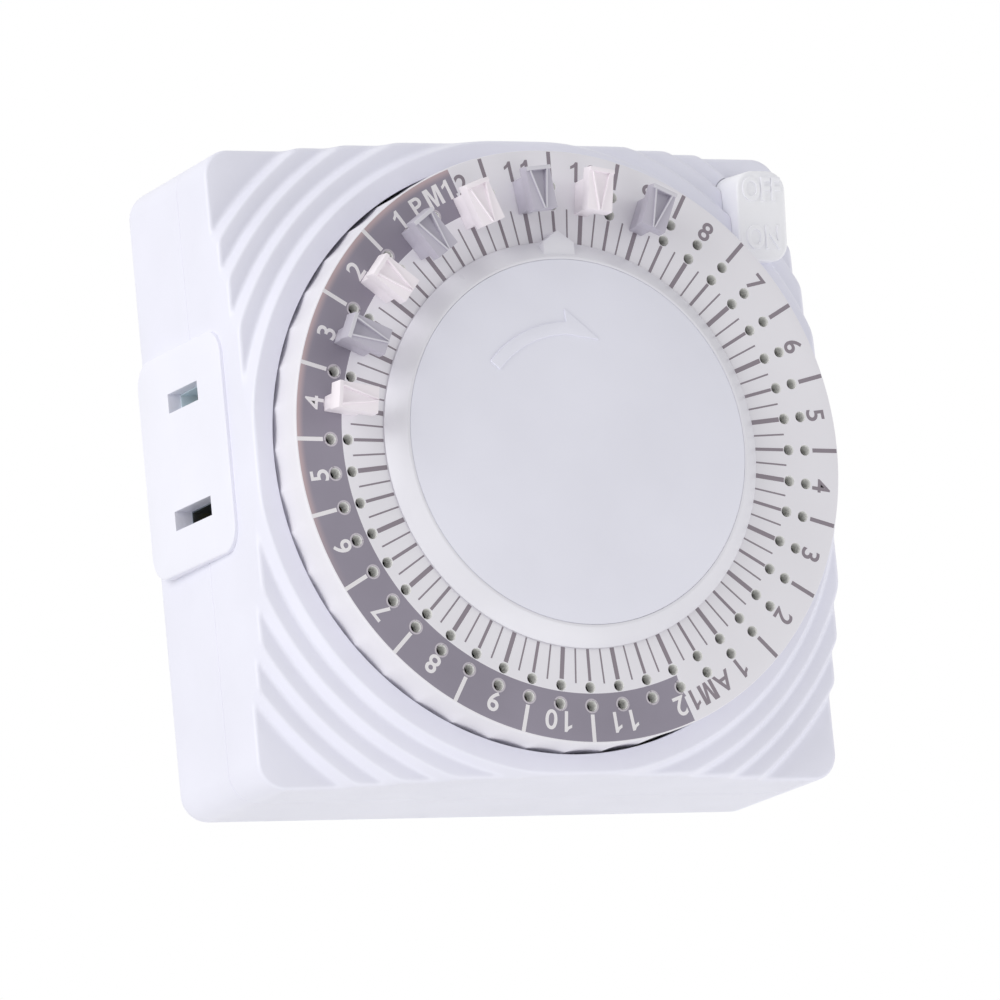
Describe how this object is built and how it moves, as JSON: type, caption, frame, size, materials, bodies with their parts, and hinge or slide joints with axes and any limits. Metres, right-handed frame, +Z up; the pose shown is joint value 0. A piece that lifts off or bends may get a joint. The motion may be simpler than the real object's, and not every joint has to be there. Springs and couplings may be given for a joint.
{
  "type": "plug-in timer switch",
  "caption": "Square plug-in timer switch with stepped corners, a turning fluted dial with pull-out trippers, an override rocker, plug blades behind and an outlet in its side.",
  "frame": {"origin": "where the dial's axis meets the flat back of the housing, which lies against the wall", "axes": "-Y is the way the dial faces, +Y into the wall, +Z up, +X to the right of someone facing the dial; the outlet is in the -X wall"},
  "size_m": [0.0707, 0.055, 0.0694],
  "materials": {
    "housing_white": "fine moulded texture, satin",
    "outlet_white": "fine moulded texture, matte",
    "dial_white": "smooth, satin, printed in gray",
    "hub_white": "satin",
    "tripper_gray": "moulded, satin",
    "tripper_white": "moulded, satin",
    "rocker_white": "satin",
    "plate_plastic": "moulded",
    "gear_plastic": "natural, slightly waxy",
    "plated_brass": "nickel plated, drawn",
    "contact_brass": "rolled strip",
    "steel": "zinc plated",
    "coil_wire": "enamelled wire under varnish",
    "silver": "contact silver"
  },
  "bodies": {
    "housing": {"front_cover": "housing_white", "rear_cover": "housing_white", "outlet_plate": "outlet_white", "outlet_contact_live": "contact_brass", "outlet_contact_neutral": "contact_brass", "live_blade": "plated_brass", "neutral_blade": "plated_brass", "housing_screws": "steel", "mechanism_plate": "plate_plastic", "hub_post": "hub_white", "hub_ring": "hub_white", "hub_cap": "hub_white", "motor_case": "steel", "motor_coil": "coil_wire", "motor_bobbin": "plate_plastic", "switch_block": "plate_plastic", "contact_spring": "contact_brass", "fixed_contact": "contact_brass", "contact_tips": "silver", "override_leaf": "contact_brass", "rocker_pin": "steel"},
    "dial": {"time_dial": "dial_white"},
    "tripper_9am": {"tripper_9am": "tripper_gray"},
    "tripper_10am": {"tripper_10am": "tripper_white"},
    "tripper_11am": {"tripper_11am": "tripper_gray"},
    "tripper_12noon": {"tripper_12noon": "tripper_white"},
    "tripper_1pm": {"tripper_1pm": "tripper_gray"},
    "tripper_2pm": {"tripper_2pm": "tripper_white"},
    "tripper_3pm": {"tripper_3pm": "tripper_gray"},
    "tripper_4pm": {"tripper_4pm": "tripper_white"},
    "drive_gear": {"drive_gear": "gear_plastic"},
    "idler_gear": {"idler_gear": "gear_plastic"},
    "motor_rotor": {"motor_rotor": "gear_plastic"},
    "rocker": {"rocker": "rocker_white"},
    "trip_lever": {"trip_lever": "gear_plastic"}
  },
  "joints": [
    {"name": "dial_turn", "type": "hinge", "parent": "housing", "child": "dial", "pos_m": [0, -0.0335, 0], "axis": [0, 1, 0], "continuous": true},
    {"name": "drive_gear_turn", "type": "hinge", "parent": "housing", "child": "drive_gear", "pos_m": [-0.01197, -0.024, -0.02074], "axis": [0, 1, 0], "continuous": true},
    {"name": "idler_gear_turn", "type": "hinge", "parent": "housing", "child": "idler_gear", "pos_m": [-0.00196, -0.021, -0.01987], "axis": [0, 1, 0], "continuous": true},
    {"name": "motor_rotor_turn", "type": "hinge", "parent": "housing", "child": "motor_rotor", "pos_m": [0.00612, -0.012, -0.01308], "axis": [0, 1, 0], "continuous": true},
    {"name": "rocker_tilt", "type": "hinge", "parent": "housing", "child": "rocker", "pos_m": [0.0286, -0.0246, 0.0266], "axis": [-1, 0, 0], "range_deg": [0, 11]},
    {"name": "trip_lever_swing", "type": "hinge", "parent": "housing", "child": "trip_lever", "pos_m": [0.01, -0.0235, 0.018], "axis": [0, 1, 0], "range_deg": [-5, 5], "stiffness_Nm_per_rad": 0.01},
    {"name": "tripper_9am_pull", "type": "slide", "parent": "dial", "child": "tripper_9am", "axis": [0, -1, 0], "range_m": [0, 0.006]},
    {"name": "tripper_10am_pull", "type": "slide", "parent": "dial", "child": "tripper_10am", "axis": [0, -1, 0], "range_m": [0, 0.006]},
    {"name": "tripper_11am_pull", "type": "slide", "parent": "dial", "child": "tripper_11am", "axis": [0, -1, 0], "range_m": [0, 0.006]},
    {"name": "tripper_12noon_pull", "type": "slide", "parent": "dial", "child": "tripper_12noon", "axis": [0, -1, 0], "range_m": [0, 0.006]},
    {"name": "tripper_1pm_pull", "type": "slide", "parent": "dial", "child": "tripper_1pm", "axis": [0, -1, 0], "range_m": [0, 0.006]},
    {"name": "tripper_2pm_pull", "type": "slide", "parent": "dial", "child": "tripper_2pm", "axis": [0, -1, 0], "range_m": [0, 0.006]},
    {"name": "tripper_3pm_pull", "type": "slide", "parent": "dial", "child": "tripper_3pm", "axis": [0, -1, 0], "range_m": [0, 0.006]},
    {"name": "tripper_4pm_pull", "type": "slide", "parent": "dial", "child": "tripper_4pm", "axis": [0, -1, 0], "range_m": [0, 0.006]}
  ],
  "couplings": [
    {"joint": "drive_gear_turn", "follows": "dial_turn", "ratio": 6},
    {"joint": "idler_gear_turn", "follows": "dial_turn", "ratio": -18},
    {"joint": "motor_rotor_turn", "follows": "dial_turn", "ratio": 57.6}
  ]
}
